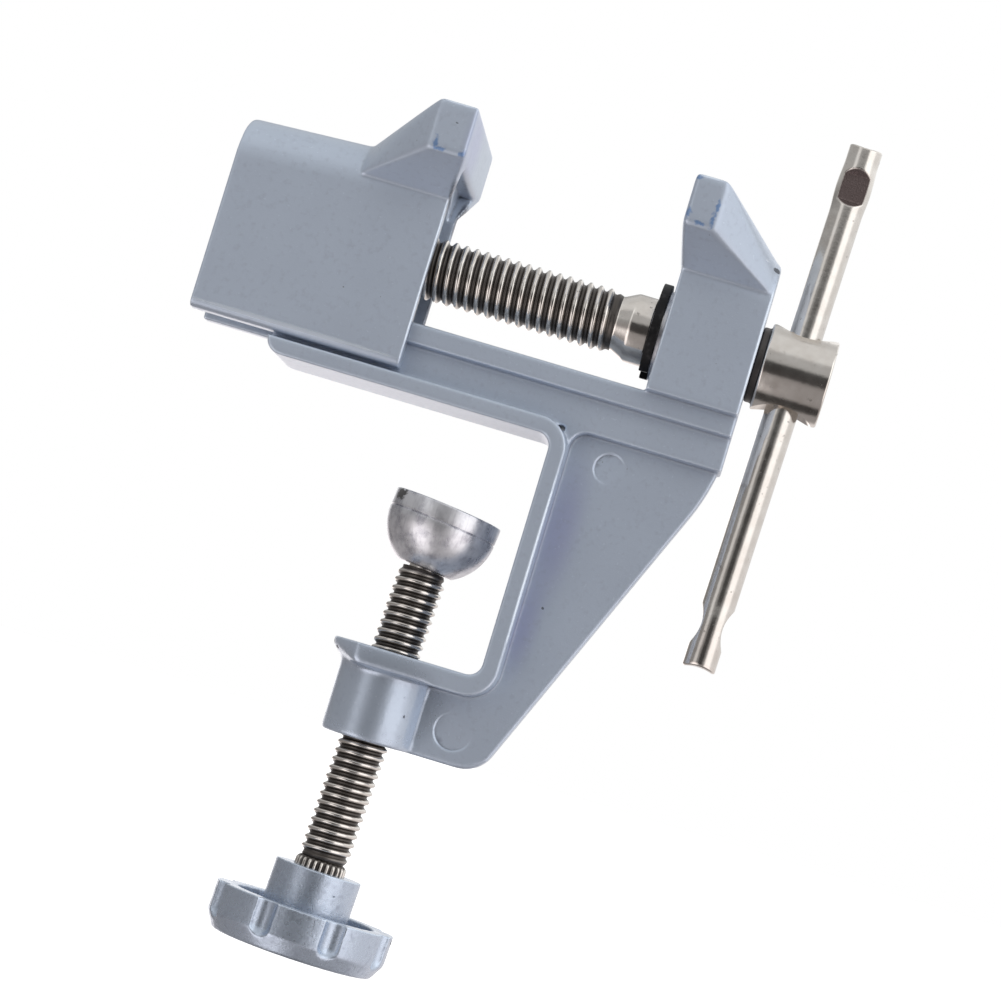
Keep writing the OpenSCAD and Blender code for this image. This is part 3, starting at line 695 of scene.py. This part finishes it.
# Finishes
near_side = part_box("moving_jaw")[0].y
gusset_side = -GUSSET_W / 2
blue_rubs = [(Vector((x, near_side / MM, z)) * MM, Vector((1.5 * rx, 1, 1.5 * rz)) * MM)
             for x, z, rx, rz in ((-13.0, 32.6, 0.5, 1.6), (-12.2, 32.0, 1.2, 0.4), (-9.2, 31.9, 0.7, 0.9),
                                  (22.2, 33.2, 0.5, 1.0), (25.6, 33.0, 0.5, 1.6), (25.8, 35.0, 0.4, 1.4),
                                  (24.0, 32.2, 1.4, 0.4), (22.2, 38.2, 0.8, 0.5))]
lost_chips = [(Vector((35.8, -5.6, 30.7)) * MM, Vector((0.9, 2.5, 0.6)) * MM),
              (Vector((-8.2, -1.5, -35.2)) * MM, Vector((0.7, 1.4, 0.5)) * MM),
              (Vector((-7.4, -3.0, -35.9)) * MM, Vector((0.6, 1.2, 0.4)) * MM)]
knob_chips = [(Vector((11.9, -1, -72.6)) * MM, Vector((1, 2.2, 0.8)) * MM)]
hazes = [(Vector((-8.6, -9, 35)) * MM, Vector((1.5, 12, 7)) * MM),
         (Vector((17.2 * MM, gusset_side, -12 * MM)), Vector((4, 3, 14)) * MM),
         (Vector((16.2 * MM, gusset_side, -26 * MM)), Vector((3, 3, 9)) * MM)]
cup_axis = Vector(mounts["clamp_pad_face"]["axis"])
cup_rim = Vector(joints["pad_tilt"]["pos_m"]) + cup_axis * (PAD_BOWL_H + PAD_RIM_H - PAD_FLOOR_T / 2)
# Shadowed corners of the moving jaw under its gripping face, given painted shade
shade_patches = [(Vector((-9.6, 1, 27)) * MM, Vector((0.9, 18, 5)) * MM),
         (Vector((-9.6, 1, 14)) * MM, Vector((0.9, 20, 16)) * MM)]
# Edges rubbed bright with wear and also given a painted highlight
rubbed_and_highlit_edges = [(Vector((x, y, z)) * MM, Vector((rx, 0.9, rz)) * MM)
            for x, y, z, rx, rz in ((-26, -7.6, 4.1, 20, 0.42), (-16, -7.6, 31.1, 8, 0.36),
                                    (-10.1, -7.6, 16, 0.3, 16), (29.5, -7.6, 31.3, 8, 0.3),
                                    (36.2, -7.6, 20, 0.36, 13), (15.2, -7.6, -17, 0.5, 17),
                                    (23.3, -7.6, 20, 0.25, 12), (-11, -15, 38.7, 3.6, 0.3),
                                    (23.7, -15, 38.7, 3.2, 0.4))]
sheens = [(Vector((joints["clamp_turn"]["pos_m"][0], 0, -40.5 * MM)), Vector((11, 20, 9)) * MM)]
casting = cast_finish("cast alloy", spots=blue_rubs, chips=lost_chips, hazes=hazes, rubbed_and_highlit_edges=rubbed_and_highlit_edges,
                      sheens=sheens)
jaw_casting = cast_finish("moving jaw alloy", spots=blue_rubs, hazes=hazes, shade_patches=shade_patches, rubbed_and_highlit_edges=rubbed_and_highlit_edges)
rough_casting = cast_finish("coarse cast alloy", grain=2.4, metal=0.72, chips=knob_chips)
nickel = nickel_finish("nickel plated steel")
burnt_patch = (cup_rim + Vector((-6.4, -4.2, -0.2)) * MM, Vector((2.4, 2.4, 1.6)) * MM)
pressed = pressed_finish("pressed plated cup", burnt_patch)
plain_pressed = pressed_finish("plated washer")
black = black_finish("black spring steel")

# Castings
frame_casting = soften("frame", "frame_casting", casting, CASTING_VOXEL, rounds=16, keep=0.24,
                       press=press_ejector_marks, rounder=(70, frame_share))
mount_piece(frame_casting, "frame", "casting", "frame")
moving_jaw = soften("moving_jaw", "moving_jaw_casting", jaw_casting, CASTING_VOXEL, rounds=16, keep=0.28,
                    rounder=(50, jaw_share))
mount_piece(moving_jaw, "moving_jaw", "casting", "moving_jaw")
knob = soften("clamp_knob", "knob_casting", rough_casting, KNOB_VOXEL, rounds=7, keep=0.36,
              rounder=(60, knob_foot_share))
mount_piece(knob, "clamp_screw", "casting", "clamp_knob")

# Main screw, laid along X from the start of its thread
ridges = ridged_rod_tree()
screw_z = joints["screw_turn"]["pos_m"][2]
screw_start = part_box("main_screw")[0].x + SCREW_TIP_L
screw_place = place_along((1, 0, 0), (screw_start, 0, screw_z))
screw_root = SCREW_D / 2 - MAIN_RIDGE_H
head_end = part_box("main_screw")[1].x - screw_start
head_start = head_end - HEAD_L
shoulder_start = head_start - SHOULDER_L
ring_low, ring_high = [corner.x - screw_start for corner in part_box("retaining_ring")]
shank_split = 0.5 * (ring_high + shoulder_start)

main_thread = ridged_rod("main_screw_thread", ridges, screw_place, Length=SCREW_THREAD_L,
                         Root_radius=screw_root, Ridge_height=SCREW_D / 2 - screw_root,
                         Ridges_per_metre=1 / SCREW_PITCH, Ridges_round=1.0, Run_out=1.2 * SCREW_PITCH,
                         Rows=520, Sides=96, Material=nickel)
mount_piece(main_thread, "main_screw", "plated_steel", "main_screw")
tip_side = eased([(0, -SCREW_TIP_L), (screw_root - SCREW_TIP_L, -SCREW_TIP_L), (screw_root, 0),
                  (screw_root, SCREW_TIP_L)], 0.3 * MM)
tip = lathe("main_screw_tip", [*tip_side, (0, SCREW_TIP_L)], screw_place, nickel)
mount_piece(give_crest(tip), "main_screw", "plated_steel")
cone_end = SCREW_THREAD_L + SHANK_CONE_L
groove_low, groove_high = ring_low - GROOVE_PLAY, ring_high + GROOVE_PLAY
shank_start = SCREW_THREAD_L - SCREW_PITCH
shank_outline = eased([(0, shank_start), (screw_root - ROOT_PLAY, shank_start),
                       (screw_root - ROOT_PLAY, SCREW_THREAD_L), (SHANK_D / 2, cone_end),
                       (SHANK_D / 2, groove_low), (GROOVE_D / 2, groove_low), (GROOVE_D / 2, groove_high),
                       (SHANK_D / 2, groove_high), (SHANK_D / 2, shank_split), (0, shank_split)], 0.25 * MM)
shank = lathe("main_screw_shank", shank_outline, screw_place, nickel)
mount_piece(give_crest(shank), "main_screw", "plated_steel")
head_outline = eased([(0, shank_split), (SHANK_D / 2, shank_split), (SHANK_D / 2, shoulder_start),
                      (SHOULDER_D / 2, shoulder_start), (SHOULDER_D / 2, head_start),
                      (HEAD_D / 2, head_start), (HEAD_D / 2, head_end), (0, head_end)], 0.35 * MM)
head = lathe("main_screw_head", head_outline, screw_place, nickel)
bar_centre = Vector((screw_start + head_start + BAR_HOLE_IN, 0, screw_z))
bar_place = place_along(joints["bar_slide"]["axis"], bar_centre)
flare_foot = HEAD_D / 2 - BAR_HOLE_FLARE_DEPTH
flare = eased([(BAR_HOLE_D / 2, flare_foot - 1.5 * MM), (BAR_HOLE_D / 2, flare_foot - 0.1 * MM),
               (BAR_HOLE_D / 2 + BAR_HOLE_FLARE, HEAD_D / 2),
               (BAR_HOLE_D / 2 + 2 * BAR_HOLE_FLARE, HEAD_D / 2 + BAR_HOLE_FLARE_DEPTH)], 0.7 * MM)
hole = [(0, -flare[-1][1]), *[(r, -along) for r, along in reversed(flare)], *flare, (0, flare[-1][1])]
cut(head, lathe("bar_hole", hole, bar_place, nickel, sides=96))
head_face = screw_start + head_start + 0.02 * MM
# The shoulder and shank inside the head get painted shade, for the shadowed gap by the block
mount_piece(give_crest(head, lambda co: co.x < head_face), "main_screw", "plated_steel")
ring = soften("retaining_ring", "retaining_ring_black", black, RING_VOXEL, rounds=3, keep=0.4)
mount_piece(ring, "main_screw", "black_steel", "retaining_ring")
frame["nodes"]["ring_washer"].data.materials.clear()
frame["nodes"]["ring_washer"].data.materials.append(plain_pressed)
mount_piece(staked_bar("tommy_bar", bar_place, nickel), "handle_bar", "plated_steel", "handle_bar")

# Clamp screw, measured from the middle of its boss
clamp_axis = Vector(joints["clamp_turn"]["axis"])
boss_middle = Vector(joints["clamp_turn"]["pos_m"])
clamp_place = place_along(clamp_axis, boss_middle)
clamp_root = CLAMP_D / 2 - CLAMP_RIDGE_H
knurl_top = KNURL_L - CLAMP_DOWN
thread_place = place_along(clamp_axis, boss_middle + clamp_axis * knurl_top)
clamp_thread = ridged_rod("clamp_screw_thread", ridges, thread_place, Length=CLAMP_UP - knurl_top,
                          Root_radius=clamp_root, Ridge_height=CLAMP_D / 2 - clamp_root,
                          Ridges_per_metre=1 / CLAMP_PITCH, Ridges_round=1.0, Run_out=1.0 * CLAMP_PITCH,
                          Rows=500, Sides=88, Material=nickel)
mount_piece(clamp_thread, "clamp_screw", "plated_steel", "clamp_screw")
knurl_place = place_along(clamp_axis, boss_middle + clamp_axis * (knurl_top - KNURL_BELOW))
knurl = ridged_rod("clamp_screw_knurl", ridges, knurl_place, Length=KNURL_BELOW,
                   Root_radius=KNURL_D / 2 - KNURL_RIDGE_H, Ridge_height=KNURL_RIDGE_H, Ridges_per_metre=0.0,
                   Ridges_round=float(KNURL_TEETH), Run_out=0.4 * MM, Rows=24, Sides=8 * KNURL_TEETH,
                   Material=nickel)
mount_piece(knurl, "clamp_screw", "plated_steel")
clip_low, clip_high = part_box("pad_clip")
clip_middle = ((clip_low + clip_high) / 2 - boss_middle).dot(clamp_axis)
neck_start, neck_end = CLAMP_UP - CLAMP_PITCH, clip_middle + NECK_END
neck_low, neck_high = clip_middle - NECK_GROOVE_HALF, clip_middle + NECK_GROOVE_HALF
neck_groove_r = NECK_D / 2 - NECK_GROOVE_DEPTH
neck_outline = eased([(0, neck_start), (NECK_D / 2, neck_start), (NECK_D / 2, neck_low),
                      (neck_groove_r, neck_low), (neck_groove_r, neck_high), (NECK_D / 2, neck_high),
                      (NECK_D / 2, neck_end), (0, neck_end)], 0.2 * MM)
neck = lathe("clamp_screw_neck", neck_outline, clamp_place, nickel, sides=96)
mount_piece(give_crest(neck), "clamp_screw", "plated_steel")
frame["nodes"]["pad_clip"].data.materials.clear()
frame["nodes"]["pad_clip"].data.materials.append(black)

# Cup of the swivel pad, on its own tipped axis
cup_base = Vector(joints["pad_tilt"]["pos_m"]) - cup_axis * (PAD_FLOOR_T / 2)
cup_r, inner_r, cup_top = PAD_D / 2, PAD_D / 2 - PAD_WALL, PAD_BOWL_H + PAD_RIM_H
bowl_start = (cup_r ** 2 - PAD_BOWL_H ** 2) ** 0.5
outer_end = np.arctan2(PAD_BOWL_H, bowl_start)
outer = [(cup_r * cos(a), PAD_BOWL_H - cup_r * sin(a))
         for a in [i / 22 * outer_end for i in range(22, 0, -1)]]
inner_drop = PAD_BOWL_H - PAD_FLOOR_T
inner_end = np.arctan2(inner_drop, (inner_r ** 2 - inner_drop ** 2) ** 0.5)
inner = [(inner_r * cos(a), PAD_BOWL_H - inner_r * sin(a))
         for a in [i / 18 * inner_end for i in range(19)]]
band_groove = [(cup_r - 0.02 * MM, PAD_BOWL_H - 0.12 * MM), (cup_r - 0.16 * MM, PAD_BOWL_H + 0.02 * MM),
               (cup_r - 0.02 * MM, PAD_BOWL_H + 0.16 * MM), (cup_r, PAD_BOWL_H + 0.35 * MM)]
rim = eased([(cup_r, PAD_BOWL_H + 0.5 * MM), (cup_r, cup_top), (inner_r, cup_top),
             (inner_r, PAD_BOWL_H + 0.1 * MM)], 0.3 * MM)
cup_outline = [(PAD_HOLE_D / 2, PAD_FLOOR_T), (PAD_HOLE_D / 2, 0), *outer, *band_groove, *rim, *inner]
mount_piece(lathe("pad_cup", cup_outline, place_along(cup_axis, cup_base), pressed, closed=True, sides=144),
            "swivel_pad", "pressed_steel", "swivel_pad")


def make_camera():
    data = bpy.data.cameras.new("camera")
    data.lens = CAMERA_LENS
    data.sensor_width = CAMERA_SENSOR
    data.shift_x, data.shift_y = CAMERA_SHIFT
    data.clip_start, data.clip_end = 0.01, 20
    camera = bpy.data.objects.new("camera", data)
    bpy.context.scene.collection.objects.link(camera)
    look = (CAMERA_TARGET - CAMERA_AT).to_track_quat("-Z", "Y")
    camera.rotation_mode = "QUATERNION"
    camera.location = CAMERA_AT
    camera.rotation_quaternion = look @ Quaternion((0, 0, 1), radians(CAMERA_ROLL))
    bpy.context.scene.camera = camera


def make_studio():
    """A light tent: bright above and on the right, a strip on the left, dim by the camera and far below."""
    world = bpy.data.worlds.new("studio")
    bpy.context.scene.world = world
    world.use_nodes = True
    g = Graph(world.node_tree)
    world.node_tree.nodes.clear()
    toward = g.vector("NORMALIZE", g.add("ShaderNodeTexCoord", output="Generated"))
    x, y, z = g.axes(toward)
    rise = g.math("ARCSINE", z) * (180 / pi)
    side = g.math("ARCTAN2", x, 0 - y) * (180 / pi)

    def window(value, low, high, soft):
        return g.between(value, low - soft, low + soft) * (1 - g.between(value, high - soft, high + soft))

    front = g.between(0 - y, -0.3, 0.1)
    level = window(rise, -40, 52, 14)
    # Even light all round, more above in two steps, and a faint band below the level
    light = 0.23 + g.between(rise, 10, 15) * 0.17 + g.between(rise, 36, 46) * 0.26 * (0.6 + front * 0.4)
    light = light + window(rise, -74, -25, 5) * 0.05
    # Wide panel on the right and strip on the left, both level with the vise
    light = light + level * (g.between(side, 22, 37) * 0.93 - g.between(side, 66, 84) * 0.45)
    light = light + level * window(side, -50, -30, 5) * 0.38
    # Low panel at the front left, and a small one behind the vise
    light = light + window(rise, -66, -14, 8) * window(side, -62, -14, 8) * 0.85
    light = light + window(rise, -26, 12, 8) * window(side, -178, -150, 8) * 1.2
    # Dark straight below, and dark where the camera stands
    light = light * (1 - (1 - g.between(rise, -80, -72)) * 0.8)
    light = light * (1 - window(rise, -20, 11, 3) * window(side, -16, 14, 5) * 0.8)
    warm = g.add("ShaderNodeMix", {"data_type": "RGBA"}, {0: g.between(0 - rise, -14, 12), 6: (1, 1, 1, 1),
                                                        7: LOW_LIGHT}, 2)
    for_light = g.add("ShaderNodeBackground", inputs={"Color": warm, "Strength": light * STUDIO_POWER})
    for_camera = g.add("ShaderNodeBackground", inputs={"Color": (1, 1, 1, 1), "Strength": 1.0})
    seen = g.add("ShaderNodeLightPath", output="Is Camera Ray")
    both = g.add("ShaderNodeMixShader", inputs={0: seen, 1: for_light, 2: for_camera})
    g.add("ShaderNodeOutputWorld", inputs={"Surface": both})


def make_floor():
    """Plain pale floor, low enough for the knob to come right down when the clamp is wide open."""
    low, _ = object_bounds()
    b = bmesh.new()
    bmesh.ops.create_circle(b, cap_ends=True, segments=96, radius=FLOOR_R)
    bmesh.ops.translate(b, vec=(0, 0, low.z - KNOB_DROP), verts=b.verts)
    mesh = bpy.data.meshes.new("floor")
    b.to_mesh(mesh)
    b.free()
    f = Finish("pale floor")
    tone = f.noise(0.3, 2)
    paper = f.mix((0.9, 0.9, 0.9), (0.94, 0.94, 0.94), tone)
    material = f.surface(paper, 0.9, 0.0, **{"Emission Color": (1, 1, 1, 1), "Emission Strength": FLOOR_GLOW,
                                             "Specular IOR Level": 0.0})
    floor = new_piece("floor", mesh, material)
    floor.visible_diffuse = False
    floor.visible_glossy = False


make_camera()
make_studio()
make_floor()
bpy.context.scene.view_settings.view_transform = "Standard"
